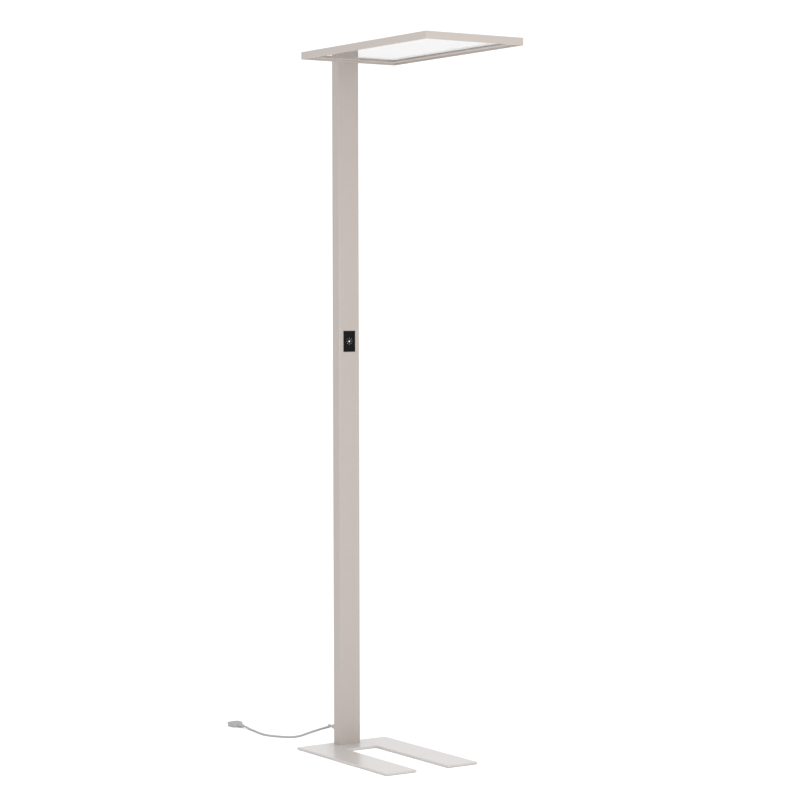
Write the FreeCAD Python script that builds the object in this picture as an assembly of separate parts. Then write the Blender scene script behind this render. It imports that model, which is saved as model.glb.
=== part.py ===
import FreeCAD, Part
import math
import os

# Office floor lamp, millimetres. +Z is up, the front is -Y, +X is right seen from the front.
# The origin is on the floor under the column's axis.

# Base
base_width = 293.0
base_depth = 455.0
base_behind_axis = 28.0
base_thickness = 6.0
base_corner_radius = 1.5
base_edge_break = 0.6
slot_width = 100.0
crossbar_depth = 102.0
slot_corner_radius = 3.0
pad_thickness = 1.0
pad_inset = 3.0
pad_corner_radius = 2.0
pad_hole_margin = 1.5

# Column, an aluminium extrusion with a screw port in each corner
overall_height = 1950.0
column_width = 65.0
column_depth = 35.0
column_wall = 2.0
column_edge_radius = 1.2
port_block = 8.0
cap_thickness = 2.0
cap_plug_depth = 12.0
cap_plug_wall = 2.0

# Fasteners
base_screw_radius = 2.5
base_screw_head_radius = 5.0
base_screw_head_height = 2.8
base_screw_grip = 22.0
tray_screw_radius = 2.0
tray_screw_head_radius = 4.0
tray_screw_head_height = 2.2
tray_nut_height = 3.2
tray_nut_flats = 7.0
small_screw_radius = 1.5
small_screw_head_radius = 2.8
small_screw_head_height = 2.0
board_screw_radius = 1.1
board_screw_head_radius = 2.0
board_screw_head_height = 1.4
board_screw_grip = 3.0

# Clearances
screw_clearance = 0.1
slide_clearance = 0.3
fit_clearance = 0.3
cord_clearance = 0.1

# Head frame and light guide
head_width = 305.0
head_length = 610.0
head_height = 20.0
column_above_head = 20.0
rail_outer_wall = 1.6
rail_width = 25.0
rail_skirt = 4.5
rail_lip = 3.0
chamber_wall = 1.3
guide_thickness = 5.0
guide_play = 0.2
guide_edge_gap = 0.3
cleat_arm = 60.0
cleat_play = 0.1

# Light strips along the two long rails
strip_board_thickness = 0.8
strip_width = 4.6
led_thickness = 0.4
led_length = 3.0
led_width = 2.8
led_count = 24
strip_lead_thickness = 0.8
strip_lead_width = 3.0

# Head fixing
head_plate_thickness = 3.0
head_plate_width = 40.0
head_plate_height = 32.0
head_plate_above_screws = 7.0
head_nut_plate_thickness = 3.2
head_screw_spacing = 11.0
head_screw_count = 4
grommet_wall = 1.4
grommet_flange = 1.0
grommet_flange_rim = 1.0

# Push control in the column's front face
control_height = 1137.0
bezel_width = 38.0
bezel_height = 58.5
bezel_flange = 0.8
bezel_cover = 1.0
bezel_body_wall = 1.0
bezel_body_depth = 8.5
lip_overlap = 0.9
lip_depth = 1.6
lug_reach = 0.95
lug_width = 12.0
lug_depth = 2.0
key_recess = 0.2
key_rim_thickness = 1.1
key_rest_gap = 0.1
key_travel = 0.8
key_stem_radius = 3.0
key_stem_length = 2.0
corner_post = 5.2
board_thickness = 1.6
board_margin = 1.3
switch_size = 6.0
switch_height = 3.5
switch_floor = 0.6
plunger_radius = 1.6
plunger_clearance = 0.15
plunger_end_gap = 0.1
symbol_depth = 0.4
symbol_proud = 0.05
sun_radius = 2.1
ray_start = 6.4
ray_length = 3.6
ray_width = 0.25
ray_count = 8

# Electrics inside the column
tray_width = 39.0
tray_thickness = 1.5
tray_height = 423.0
tray_foot_width = 30.0
tray_foot_depth = 19.0
tray_screw_from_front = 11.5
driver_width = 36.0
driver_depth = 22.0
driver_length = 250.0
driver_above_base = 143.0
driver_tab = 10.0
driver_tab_thickness = 2.0
terminal_width = 24.0
terminal_depth = 14.0
terminal_height = 25.0
terminal_above_base = 83.0
terminal_ways = 2
terminal_screw_radius = 2.0
terminal_screw_depth = 3.0
lead_radius = 2.0
connector_width = 10.0
connector_depth = 6.0
connector_height = 8.0
connector_from_board_end = 1.5

# Cable gland and strain relief low on the column's back
gland_height = 44.0
gland_thread_radius = 6.0
gland_flats = 17.0
gland_flange = 4.0
gland_thread_inside = 5.0
gland_thread_outside = 8.5
dome_nut_radius = 8.0
dome_nut_length = 16.0
dome_nut_tip_radius = 7.0
gland_seal_length = 5.0
gland_seal_wall = 2.6
lock_nut_height = 4.0
relief_length = 42.5
relief_start_radius = 6.4
relief_end_radius = 5.8
tail_bend_radius = 12.0

# Mains cord: a lead, a round coil of four layers behind the column, and a run on the floor
cord_radius = 2.8
coil_centre_x = 167.4
coil_centre_y = 265.6
coil_outer_radius = 34.2
coil_layers = 4
coil_turns = 7.5
coil_pitch = 6.1
coil_entry_degrees = -62.0
run_share_of_bend = 0.45

# Two-pin plug
plug_width = 35.0
plug_thickness = 13.7
plug_length = 36.0
plug_neck_width = 17.0
plug_neck_length = 9.0
plug_boot_length = 22.0
plug_boot_start_radius = 4.2
plug_boot_end_radius = 6.4
plug_edge_radius = 2.5
pin_radius = 2.0
pin_length = 19.0
pin_spacing = 18.6

# Places that several pieces share
plate_bottom = pad_thickness
plate_top = pad_thickness + base_thickness
base_back = base_behind_axis
base_front = base_behind_axis - base_depth
slot_back = base_behind_axis - crossbar_depth
column_front = -column_depth / 2
column_back = column_depth / 2
column_top = overall_height - cap_thickness
inner_front = column_front + column_wall
inner_back = column_back - column_wall
inner_half_width = column_width / 2 - column_wall
port_x = inner_half_width - port_block / 2
port_y = inner_back - port_block / 2
head_top = overall_height - column_above_head
head_bottom = head_top - head_height
head_rear = column_front
head_front = head_rear - head_length
groove_height = guide_thickness + guide_play
lip_top = rail_skirt + rail_lip
groove_top = lip_top + groove_height
chamber_floor = groove_top + chamber_wall
chamber_top = head_height - chamber_wall
chamber_height = chamber_top - chamber_floor
cleat_height = chamber_height - 2 * cleat_play
cleat_width = rail_width - rail_outer_wall - chamber_wall - 2 * cleat_play
guide_edge = rail_outer_wall + strip_board_thickness + led_thickness + guide_edge_gap
guide_middle = head_bottom + lip_top + guide_thickness / 2
head_screw_height = head_bottom + chamber_floor + chamber_height / 2
lead_height = guide_middle
window_half_width = bezel_width / 2 - bezel_cover
window_half_height = bezel_height / 2 - bezel_cover
body_half_width = window_half_width - fit_clearance
body_half_height = window_half_height - fit_clearance
cavity_half_width = body_half_width - bezel_body_wall
cavity_half_height = body_half_height - bezel_body_wall
bezel_face = column_front - bezel_flange
lip_back = bezel_face + lip_depth
body_back = column_front + bezel_body_depth
rim_front = lip_back + key_rest_gap
rim_back = rim_front + key_rim_thickness
stem_end = rim_back + key_stem_length
key_face = bezel_face + key_recess
switch_front = body_back - switch_height
board_back = body_back + board_thickness
board_half_width = body_half_width - board_margin + fit_clearance
board_half_height = body_half_height - board_margin + fit_clearance
tray_front = inner_front + fit_clearance
tray_back = tray_front + tray_thickness
driver_bottom = plate_top + driver_above_base
driver_top = driver_bottom + driver_length
driver_back = tray_back + driver_depth
terminal_bottom = plate_top + terminal_above_base
terminal_top = terminal_bottom + terminal_height
terminal_y = tray_back + terminal_depth / 2
connector_back = board_back + connector_depth
board_lead_y = board_back + connector_depth / 2
grommet_back = inner_front + head_plate_thickness + grommet_flange
lead_bend_radius = board_lead_y - grommet_back - fit_clearance
relief_start = column_back + gland_flange + dome_nut_length
relief_end = relief_start + relief_length
cord_bore = cord_radius + cord_clearance


def point(x, y, z):
    return FreeCAD.Vector(x, y, z)


def block(x0, x1, y0, y1, z0, z1):
    return Part.makeBox(x1 - x0, y1 - y0, z1 - z0, point(x0, y0, z0))


def rod(radius, start, end):
    return Part.makeCylinder(radius, (end - start).Length, start, end - start)


def taper(start_radius, end_radius, start, end):
    return Part.makeCone(start_radius, end_radius, (end - start).Length, start, end - start)


def outline_solid(points, height):
    face = Part.Face(Part.makePolygon(points + points[:1]))
    return face.extrude(point(0, 0, height))


def hexagon(flats, start, end):
    """A hexagonal bar between two points on a line along Y or Z, two flats facing up or sideways."""
    radius = flats / math.sqrt(3.0)
    direction = (end - start).normalize()
    side = point(1, 0, 0)
    other = direction.cross(side)
    corners = []
    for step in range(6):
        angle = math.radians(60 * step)
        corners.append(start + side * (radius * math.cos(angle)) + other * (radius * math.sin(angle)))
    face = Part.Face(Part.makePolygon(corners + corners[:1]))
    return face.extrude(end - start)


def upright_edges(shape, wanted):
    """The vertical edges of a solid that stand on one of the wanted (x, y) places."""
    found = []
    for edge in shape.Edges:
        first = edge.Vertexes[0].Point
        last = edge.Vertexes[-1].Point
        if abs(first.x - last.x) + abs(first.y - last.y) > 1e-6:
            continue
        if any(math.hypot(first.x - x, first.y - y) < 1e-3 for x, y in wanted):
            found.append(edge)
    return found


def edges_at_height(shape, height):
    return [edge for edge in shape.Edges
            if edge.BoundBox.ZMax - edge.BoundBox.ZMin < 1e-6 and abs(edge.BoundBox.ZMax - height) < 1e-6]


def save(name, shape):
    solids = shape.Solids
    if not shape.isValid() or not solids:
        print("not a valid solid:", name)
    shape.exportStep("parts/" + name + ".step")
    print(name, "solids", len(solids), "volume_cm3", round(shape.Volume / 1000.0, 3))


def u_outline(inset, z):
    """The base's U outline, drawn in from its edge by an inset, with the open slot at the front."""
    side = base_width / 2 - inset
    back = base_back - inset
    front = base_front + inset
    slot_side = slot_width / 2 + inset
    slot_end = slot_back + inset
    return [point(-side, back, z), point(side, back, z), point(side, front, z),
            point(slot_side, front, z), point(slot_side, slot_end, z),
            point(-slot_side, slot_end, z), point(-slot_side, front, z), point(-side, front, z)]


def rounded_u(inset, corner_radius, z, height):
    corners = u_outline(inset, z)
    outer = [(corner.x, corner.y) for index, corner in enumerate(corners) if index not in (4, 5)]
    inner = [(corners[index].x, corners[index].y) for index in (4, 5)]
    solid = outline_solid(corners, height)
    solid = solid.makeFillet(corner_radius, upright_edges(solid, outer))
    return solid.makeFillet(slot_corner_radius + inset, upright_edges(solid, inner))


def port_places():
    return [(x, y) for x in (-port_x, port_x) for y in (-port_y, port_y)]


def tray_screw_y():
    return tray_front + tray_screw_from_front


def countersunk_screw(x, y, radius, head_radius, head_height, end_height):
    """A countersunk screw that enters the base plate from below."""
    head = taper(head_radius, radius, point(x, y, plate_bottom), point(x, y, plate_bottom + head_height))
    shank = rod(radius, point(x, y, plate_bottom), point(x, y, end_height))
    return head.fuse(shank).removeSplitter()


def countersunk_hole(x, y, radius, head_radius, head_height):
    gap = screw_clearance
    through = rod(radius + gap, point(x, y, plate_bottom - gap), point(x, y, plate_top + gap))
    sink = taper(head_radius + gap, radius + gap,
                 point(x, y, plate_bottom), point(x, y, plate_bottom + head_height))
    return through.fuse(sink)


def base_plate():
    plate = rounded_u(0.0, base_corner_radius, plate_bottom, base_thickness)
    plate = plate.makeChamfer(base_edge_break, edges_at_height(plate, plate_top))
    for x, y in port_places():
        plate = plate.cut(countersunk_hole(x, y, base_screw_radius, base_screw_head_radius,
                                           base_screw_head_height))
    return plate.cut(countersunk_hole(0, tray_screw_y(), tray_screw_radius, tray_screw_head_radius,
                                      tray_screw_head_height))


def floor_pad():
    pad = rounded_u(pad_inset, pad_corner_radius, 0.0, pad_thickness)
    openings = [(x, y, base_screw_head_radius) for x, y in port_places()]
    openings.append((0, tray_screw_y(), tray_screw_head_radius))
    for x, y, head_radius in openings:
        pad = pad.cut(rod(head_radius + pad_hole_margin, point(x, y, 0), point(x, y, pad_thickness)))
    return pad


def base_screws():
    screws = [countersunk_screw(x, y, base_screw_radius, base_screw_head_radius, base_screw_head_height,
                                plate_top + base_screw_grip) for x, y in port_places()]
    return Part.makeCompound(screws)


def tray_screw():
    end = plate_top + tray_thickness + tray_nut_height + 1.0
    return countersunk_screw(0, tray_screw_y(), tray_screw_radius, tray_screw_head_radius,
                             tray_screw_head_height, end)


def tray_nut():
    seat = plate_top + tray_thickness
    start = point(0, tray_screw_y(), seat)
    end = point(0, tray_screw_y(), seat + tray_nut_height)
    return hexagon(tray_nut_flats, start, end).cut(rod(tray_screw_radius + screw_clearance, start, end))


def head_screw_places():
    middle = (head_screw_count - 1) / 2.0
    return [(index - middle) * head_screw_spacing for index in range(head_screw_count)]


def column_tube():
    half = column_width / 2
    outer = block(-half, half, column_front, column_back, plate_top, column_top)
    corners = [(x, y) for x in (-half, half) for y in (column_front, column_back)]
    outer = outer.makeFillet(column_edge_radius, upright_edges(outer, corners))
    tube = outer.cut(block(-inner_half_width, inner_half_width, inner_front, inner_back,
                           plate_top, column_top))
    for x, y in port_places():
        port = block(x - port_block / 2, x + port_block / 2, y - port_block / 2, y + port_block / 2,
                     plate_top, column_top)
        tube = tube.fuse(port)
    tube = tube.removeSplitter()
    for x, y in port_places():
        tube = tube.cut(rod(base_screw_radius + screw_clearance,
                            point(x, y, plate_top), point(x, y, column_top)))
    tube = tube.cut(block(-window_half_width, window_half_width, column_front, inner_front,
                          control_height - window_half_height, control_height + window_half_height))
    tube = tube.cut(rod(gland_thread_radius + screw_clearance,
                        point(0, inner_back, gland_height), point(0, column_back, gland_height)))
    for x in head_screw_places():
        tube = tube.cut(rod(small_screw_radius + screw_clearance, point(x, column_front, head_screw_height),
                            point(x, inner_front, head_screw_height)))
    return tube.cut(rod(lead_radius + cord_clearance + grommet_wall, point(0, column_front, lead_height),
                        point(0, inner_front, lead_height)))


def column_top_cap():
    half = column_width / 2
    flange = block(-half, half, column_front, column_back, column_top, overall_height)
    corners = [(x, y) for x in (-half, half) for y in (column_front, column_back)]
    flange = flange.makeFillet(column_edge_radius, upright_edges(flange, corners))
    plug_x = inner_half_width - port_block - fit_clearance
    plug_y = inner_back - fit_clearance
    plug = block(-plug_x, plug_x, -plug_y, plug_y, column_top - cap_plug_depth, column_top)
    hollow_x = plug_x - cap_plug_wall
    hollow_y = plug_y - cap_plug_wall
    plug = plug.cut(block(-hollow_x, hollow_x, -hollow_y, hollow_y, column_top - cap_plug_depth, column_top))
    return flange.fuse(plug).removeSplitter()


def rail(place, length):
    """A mitred frame rail: a skirt, a ledge under the light guide's groove and a closed chamber over
    it. place(u, s, z) takes the distance in from the outer face, the distance along the rail and the
    height above the frame's underside to a point of the lamp."""
    profile = [(0, 0), (0, head_height), (rail_width, head_height), (rail_width, groove_top),
               (rail_outer_wall, groove_top), (rail_outer_wall, lip_top), (rail_width, lip_top),
               (rail_width, rail_skirt), (rail_outer_wall, rail_skirt), (rail_outer_wall, 0)]
    first = [place(u, u, z) for u, z in profile]
    last = [place(u, length - u, z) for u, z in profile]
    ends = [Part.makePolygon(corners + corners[:1]) for corners in (first, last)]
    solid = Part.makeLoft(ends, True, True)
    low = place(rail_outer_wall, 0, chamber_floor)
    high = place(rail_width - chamber_wall, length, chamber_top)
    solid = solid.cut(block(min(low.x, high.x), max(low.x, high.x), min(low.y, high.y), max(low.y, high.y),
                            low.z, high.z))
    if solid.Volume < 0:
        solid.reverse()
    return solid


def left_rail():
    return rail(lambda u, s, z: point(-head_width / 2 + u, head_rear - s, head_bottom + z), head_length)


def right_rail():
    return rail(lambda u, s, z: point(head_width / 2 - u, head_rear - s, head_bottom + z), head_length)


def front_rail():
    return rail(lambda u, s, z: point(-head_width / 2 + s, head_front + u, head_bottom + z), head_width)


def rear_rail():
    bar = rail(lambda u, s, z: point(-head_width / 2 + s, head_rear - u, head_bottom + z), head_width)
    wall_inside = head_rear - rail_outer_wall
    for x in head_screw_places():
        bar = bar.cut(rod(small_screw_radius + screw_clearance, point(x, wall_inside, head_screw_height),
                          point(x, head_rear, head_screw_height)))
    return bar.cut(rod(lead_radius + cord_clearance, point(0, wall_inside, lead_height),
                       point(0, head_rear, lead_height)))


def corner_cleats():
    near = rail_outer_wall + cleat_play
    far = near + cleat_width
    z = head_bottom + chamber_floor + cleat_play
    cleats = []
    for side in (-1, 1):
        for end_y, inward in ((head_rear, -1), (head_front, 1)):
            shape = [(near, near), (cleat_arm, near), (cleat_arm, far), (far, far), (far, cleat_arm),
                     (near, cleat_arm)]
            corners = [point(side * (head_width / 2 - a), end_y + inward * b, z) for a, b in shape]
            cleats.append(outline_solid(corners, cleat_height))
    return Part.makeCompound(cleats)


def light_guide():
    half = head_width / 2 - guide_edge
    bottom = head_bottom + lip_top
    return block(-half, half, head_front + guide_edge, head_rear - guide_edge,
                 bottom, bottom + guide_thickness)


def led_strip(side):
    """A strip of light sources in a long rail's groove, facing the light guide's edge."""
    board_out = head_width / 2 - rail_outer_wall
    board_in = board_out - strip_board_thickness
    chip_in = board_in - led_thickness
    rear = head_rear - rail_outer_wall
    front = head_front + rail_outer_wall
    strip = block(min(side * board_out, side * board_in), max(side * board_out, side * board_in),
                  front, rear, guide_middle - strip_width / 2, guide_middle + strip_width / 2)
    pitch = (rear - front) / led_count
    chips = []
    for index in range(led_count):
        y = front + pitch * (index + 0.5)
        chips.append(block(min(side * board_in, side * chip_in), max(side * board_in, side * chip_in),
                           y - led_length / 2, y + led_length / 2, guide_middle - led_width / 2,
                           guide_middle + led_width / 2))
    return strip.fuse(chips).removeSplitter()


def strip_leads():
    """Two flat leads in the rear rail's groove, from the head lead's end to the light strips."""
    back = head_rear - rail_outer_wall - cord_clearance
    front = back - strip_lead_thickness
    reach = head_width / 2 - rail_outer_wall - strip_board_thickness
    low = lead_height - strip_lead_width / 2
    left = block(-reach, -cord_clearance, front, back, low, low + strip_lead_width)
    right = block(cord_clearance, reach, front, back, low, low + strip_lead_width)
    return Part.makeCompound([left, right])


def head_bracket():
    """The steel plate inside the column that spreads the head's load."""
    top = head_screw_height + head_plate_above_screws
    half = head_plate_width / 2
    back = inner_front + head_plate_thickness
    plate = block(-half, half, inner_front, back, top - head_plate_height, top)
    for x in head_screw_places():
        plate = plate.cut(rod(small_screw_radius + screw_clearance, point(x, inner_front, head_screw_height),
                              point(x, back, head_screw_height)))
    return plate.cut(rod(lead_radius + cord_clearance + grommet_wall, point(0, inner_front, lead_height),
                         point(0, back, lead_height)))


def head_nut_plate():
    back = head_rear - rail_outer_wall
    front = back - head_nut_plate_thickness
    half = head_plate_width / 2
    low = head_bottom + chamber_floor
    plate = block(-half, half, front, back, low, low + chamber_height - guide_play)
    for x in head_screw_places():
        plate = plate.cut(rod(small_screw_radius + screw_clearance, point(x, front, head_screw_height),
                              point(x, back, head_screw_height)))
    return plate


def head_screws():
    seat = inner_front + head_plate_thickness
    tip = head_rear - rail_outer_wall - head_nut_plate_thickness
    screws = []
    for x in head_screw_places():
        head = rod(small_screw_head_radius, point(x, seat, head_screw_height),
                   point(x, seat + small_screw_head_height, head_screw_height))
        shank = rod(small_screw_radius, point(x, tip, head_screw_height), point(x, seat, head_screw_height))
        screws.append(head.fuse(shank).removeSplitter())
    return Part.makeCompound(screws)


def head_grommet():
    bore = lead_radius + cord_clearance
    seat = inner_front + head_plate_thickness
    sleeve = rod(bore + grommet_wall, point(0, column_front, lead_height), point(0, seat, lead_height))
    flange = rod(bore + grommet_wall + grommet_flange_rim, point(0, seat, lead_height),
                 point(0, grommet_back, lead_height))
    hole = rod(bore, point(0, column_front, lead_height), point(0, grommet_back, lead_height))
    return sleeve.fuse(flange).removeSplitter().cut(hole)


def control_bezel():
    z = control_height
    flange = block(-bezel_width / 2, bezel_width / 2, bezel_face, column_front,
                   z - bezel_height / 2, z + bezel_height / 2)
    body = block(-body_half_width, body_half_width, column_front, body_back,
                 z - body_half_height, z + body_half_height)
    bezel = flange.fuse(body)
    cavity = block(-cavity_half_width, cavity_half_width, lip_back, body_back,
                   z - cavity_half_height, z + cavity_half_height)
    opening_x = cavity_half_width - lip_overlap
    opening_z = cavity_half_height - lip_overlap
    opening = block(-opening_x, opening_x, bezel_face, lip_back, z - opening_z, z + opening_z)
    bezel = bezel.cut(cavity).cut(opening)
    post_front = rim_back + key_travel + slide_clearance
    for side_x in (-1, 1):
        for side_z in (-1, 1):
            low_x, high_x = sorted((side_x * (cavity_half_width - corner_post), side_x * cavity_half_width))
            low_z, high_z = sorted((side_z * (cavity_half_height - corner_post), side_z * cavity_half_height))
            bezel = bezel.fuse(block(low_x, high_x, post_front, body_back, z + low_z, z + high_z))
    reach = window_half_height + lug_reach
    for side in (-1, 1):
        low, high = sorted((side * (cavity_half_height + bezel_body_wall / 2), side * reach))
        bezel = bezel.fuse(block(-lug_width / 2, lug_width / 2, inner_front, inner_front + lug_depth,
                                 z + low, z + high))
    bezel = bezel.removeSplitter()
    for x, post_z in board_screw_places():
        bezel = bezel.cut(rod(board_screw_radius + screw_clearance,
                              point(x, body_back - board_screw_grip - screw_clearance, post_z),
                              point(x, body_back, post_z)))
    return bezel


def board_screw_places():
    x = cavity_half_width - corner_post / 2
    z = cavity_half_height - corner_post / 2
    return [(side_x * x, control_height + side_z * z) for side_x in (-1, 1) for side_z in (-1, 1)]


def symbol_shapes(front, back):
    """The dot and rays of the sun symbol, between two depths."""
    shapes = [rod(sun_radius, point(0, front, control_height), point(0, back, control_height))]
    for index in range(ray_count):
        ray = block(ray_start, ray_start + ray_length, front, back, -ray_width / 2, ray_width / 2)
        ray.rotate(point(0, 0, 0), point(0, 1, 0), 360.0 * index / ray_count)
        ray.translate(point(0, 0, control_height))
        shapes.append(ray)
    return shapes


def control_key():
    z = control_height
    plate_x = cavity_half_width - lip_overlap - slide_clearance
    plate_z = cavity_half_height - lip_overlap - slide_clearance
    rim_x = cavity_half_width - slide_clearance
    rim_z = cavity_half_height - slide_clearance
    key = block(-plate_x, plate_x, key_face, rim_front, z - plate_z, z + plate_z)
    key = key.fuse(block(-rim_x, rim_x, rim_front, rim_back, z - rim_z, z + rim_z))
    key = key.fuse(rod(key_stem_radius, point(0, rim_back, z), point(0, stem_end, z))).removeSplitter()
    for shape in symbol_shapes(key_face, key_face + symbol_depth):
        key = key.cut(shape)
    return key


def sun_symbol():
    return Part.makeCompound(symbol_shapes(key_face - symbol_proud, key_face + symbol_depth))


def plunger_end():
    return body_back - switch_floor - plunger_end_gap - key_travel


def switch_plunger():
    return rod(plunger_radius, point(0, stem_end, control_height), point(0, plunger_end(), control_height))


def key_switch():
    half = switch_size / 2
    housing = block(-half, half, switch_front, body_back, control_height - half, control_height + half)
    bore = rod(plunger_radius + plunger_clearance, point(0, switch_front, control_height),
               point(0, body_back - switch_floor, control_height))
    return housing.cut(bore)


def control_board():
    board = block(-board_half_width, board_half_width, body_back, board_back,
                  control_height - board_half_height, control_height + board_half_height)
    for x, z in board_screw_places():
        board = board.cut(rod(board_screw_radius + screw_clearance, point(x, body_back, z),
                              point(x, board_back, z)))
    return board


def board_screws():
    screws = []
    for x, z in board_screw_places():
        head = rod(board_screw_head_radius, point(x, board_back, z),
                   point(x, board_back + board_screw_head_height, z))
        shank = rod(board_screw_radius, point(x, body_back - board_screw_grip, z), point(x, board_back, z))
        screws.append(head.fuse(shank).removeSplitter())
    return Part.makeCompound(screws)


def connector_end(side):
    return control_height + side * (board_half_height - connector_from_board_end)


def board_connectors():
    connectors = []
    for side in (-1, 1):
        low, high = sorted((connector_end(side), connector_end(side) - side * connector_height))
        connectors.append(block(-connector_width / 2, connector_width / 2, board_back, connector_back,
                                low, high))
    return Part.makeCompound(connectors)


def driver_screw_heights():
    return [driver_bottom - driver_tab / 2, driver_top + driver_tab / 2]


def driver_tray():
    half = tray_width / 2
    strip = block(-half, half, tray_front, tray_back, plate_top, plate_top + tray_height)
    foot = block(-tray_foot_width / 2, tray_foot_width / 2, tray_front, tray_front + tray_foot_depth,
                 plate_top, plate_top + tray_thickness)
    tray = strip.fuse(foot).removeSplitter()
    tray = tray.cut(rod(tray_screw_radius + screw_clearance, point(0, tray_screw_y(), plate_top),
                        point(0, tray_screw_y(), plate_top + tray_thickness)))
    for z in driver_screw_heights():
        tray = tray.cut(rod(small_screw_radius + screw_clearance, point(0, tray_front, z),
                            point(0, tray_back, z)))
    return tray


def led_driver():
    half = driver_width / 2
    body = block(-half, half, tray_back, driver_back, driver_bottom, driver_top)
    for z in (driver_bottom - driver_tab, driver_top):
        body = body.fuse(block(-half, half, tray_back, tray_back + driver_tab_thickness, z, z + driver_tab))
    body = body.removeSplitter()
    for z in driver_screw_heights():
        body = body.cut(rod(small_screw_radius + screw_clearance, point(0, tray_back, z),
                            point(0, tray_back + driver_tab_thickness, z)))
    return body


def driver_screws():
    seat = tray_back + driver_tab_thickness
    screws = []
    for z in driver_screw_heights():
        head = rod(small_screw_head_radius, point(0, seat, z), point(0, seat + small_screw_head_height, z))
        shank = rod(small_screw_radius, point(0, tray_front, z), point(0, seat, z))
        screws.append(head.fuse(shank).removeSplitter())
    return Part.makeCompound(screws)


def terminal_block():
    half = terminal_width / 2
    back = tray_back + terminal_depth
    body = block(-half, half, tray_back, back, terminal_bottom, terminal_top)
    pitch = terminal_width / terminal_ways
    for index in range(terminal_ways):
        x = pitch * (index + 0.5) - half
        for z in (terminal_bottom + terminal_height / 4, terminal_top - terminal_height / 4):
            body = body.cut(rod(terminal_screw_radius, point(x, back - terminal_screw_depth, z),
                                point(x, back, z)))
    return body


def tube_along(wire, start, direction, radius):
    """A round tube swept along a wire of lines and arcs that starts at a point."""
    circle = Part.Wire(Part.Circle(start, direction, radius).toShape())
    solid = wire.makePipeShell([circle], True, False)
    if solid.Volume < 0:
        solid.reverse()
    return solid


def bent_route(points, radii):
    """Straight runs between points, joined by tangent arcs of the given radii at the inner points."""
    edges = []
    start = points[0]
    for index in range(1, len(points) - 1):
        corner = points[index]
        incoming = (corner - points[index - 1]).normalize()
        outgoing = (points[index + 1] - corner).normalize()
        half_turn = incoming.getAngle(outgoing) / 2
        setback = radii[index - 1] * math.tan(half_turn)
        arc_start = corner - incoming * setback
        arc_end = corner + outgoing * setback
        inward = (outgoing - incoming).normalize()
        arc_middle = corner + inward * (radii[index - 1] * (1 / math.cos(half_turn) - 1))
        edges.append(Part.LineSegment(start, arc_start).toShape())
        edges.append(Part.Arc(arc_start, arc_middle, arc_end).toShape())
        start = arc_end
    edges.append(Part.LineSegment(start, points[-1]).toShape())
    return Part.Wire(edges)


def mains_tail():
    """The cord's fixed end, from the strain relief's tip through the gland and up to the terminals."""
    points = [point(0, relief_end, gland_height), point(0, terminal_y, gland_height),
              point(0, terminal_y, terminal_bottom)]
    return tube_along(bent_route(points, [tail_bend_radius]), points[0], point(0, -1, 0), cord_radius)


def driver_lead():
    return rod(lead_radius, point(0, terminal_y, terminal_top), point(0, terminal_y, driver_bottom))


def column_lead():
    return rod(lead_radius, point(0, board_lead_y, driver_top), point(0, board_lead_y, connector_end(-1)))


def head_lead():
    """The lead from the control board up the column and forward into the head's rear rail."""
    points = [point(0, board_lead_y, connector_end(1)), point(0, board_lead_y, lead_height),
              point(0, head_rear - rail_outer_wall - cord_clearance, lead_height)]
    return tube_along(bent_route(points, [lead_bend_radius]), points[0], point(0, 0, 1), lead_radius)


def on_gland_axis(y):
    return point(0, y, gland_height)


def gland_body():
    shank = rod(gland_thread_radius, on_gland_axis(inner_back - gland_thread_inside),
                on_gland_axis(column_back + gland_flange + gland_thread_outside))
    flange = hexagon(gland_flats, on_gland_axis(column_back), on_gland_axis(column_back + gland_flange))
    bore = rod(cord_bore, on_gland_axis(inner_back - gland_thread_inside),
               on_gland_axis(column_back + gland_flange + gland_thread_outside))
    return shank.fuse(flange).removeSplitter().cut(bore)


def gland_lock_nut():
    start = on_gland_axis(inner_back - lock_nut_height)
    end = on_gland_axis(inner_back)
    return hexagon(gland_flats, start, end).cut(rod(gland_thread_radius + screw_clearance, start, end))


def gland_dome_nut():
    start = column_back + gland_flange
    shoulder = start + dome_nut_length * 0.6
    end = start + dome_nut_length
    body = rod(dome_nut_radius, on_gland_axis(start), on_gland_axis(shoulder))
    body = body.fuse(taper(dome_nut_radius, dome_nut_tip_radius, on_gland_axis(shoulder), on_gland_axis(end)))
    chamber_end = start + gland_thread_outside + gland_seal_length
    chamber = rod(gland_thread_radius + screw_clearance, on_gland_axis(start), on_gland_axis(chamber_end))
    bore = rod(cord_bore, on_gland_axis(start), on_gland_axis(end))
    return body.removeSplitter().cut(chamber).cut(bore)


def gland_seal():
    start = on_gland_axis(column_back + gland_flange + gland_thread_outside)
    end = on_gland_axis(column_back + gland_flange + gland_thread_outside + gland_seal_length)
    return rod(cord_bore + gland_seal_wall, start, end).cut(rod(cord_bore, start, end))


def strain_relief():
    start = on_gland_axis(relief_start)
    end = on_gland_axis(relief_end)
    return taper(relief_start_radius, relief_end_radius, start, end).cut(rod(cord_bore, start, end))


def coil_height(layer):
    """The height of the cord's centre in a layer, counted from the floor."""
    return cord_radius + layer * coil_pitch


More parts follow.
